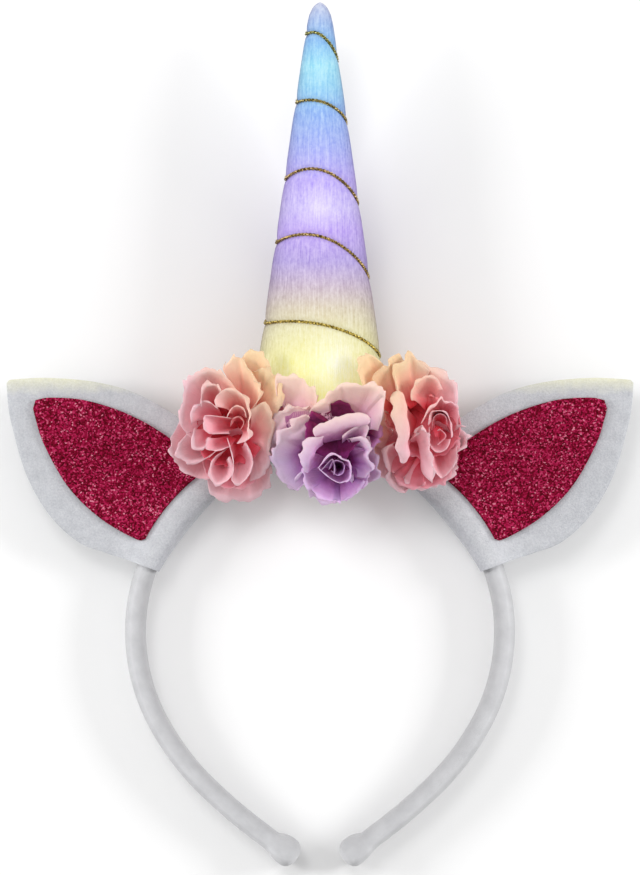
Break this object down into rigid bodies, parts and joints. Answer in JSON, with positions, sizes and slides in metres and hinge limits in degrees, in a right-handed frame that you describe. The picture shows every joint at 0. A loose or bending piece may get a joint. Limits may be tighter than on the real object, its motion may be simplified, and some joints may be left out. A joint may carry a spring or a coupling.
{
  "type": "unicorn horn headband",
  "caption": "Padded headband with a stuffed, softly glowing unicorn horn wound with gold cord, felt ears with glitter panels, and fabric roses.",
  "frame": {"origin": "centre of the headband's box at the height of the surface that it lies on", "axes": "+X to the wearer's left ear as seen from the front, +Y from the free ends of the band to the tip of the horn, +Z out of the front, where the flowers are"},
  "size_m": [0.2256, 0.31, 0.0519],
  "materials": {
    "velour": "matt velour",
    "felt": "matt felt",
    "glitter": "fine glitter",
    "satin": "satin, lit from inside",
    "gold_cord": "metallic thread",
    "pink_petals": "matt cloth",
    "purple_petals": "matt cloth"
  },
  "bodies": {
    "root": {"band": "velour", "ear_left": "felt", "ear_right": "felt", "ear_panel_left": "glitter", "ear_panel_right": "glitter", "horn": "satin", "horn_cord": "gold_cord", "rose_left_outer": "pink_petals", "rose_left_middle": "pink_petals", "rose_left_inner": "pink_petals", "rose_left_bud": "pink_petals", "rose_centre_outer": "purple_petals", "rose_centre_middle": "purple_petals", "rose_centre_inner": "purple_petals", "rose_centre_bud": "purple_petals", "rose_right_outer": "pink_petals", "rose_right_middle": "pink_petals", "rose_right_inner": "pink_petals", "rose_right_bud": "pink_petals"}
  },
  "joints": []
}
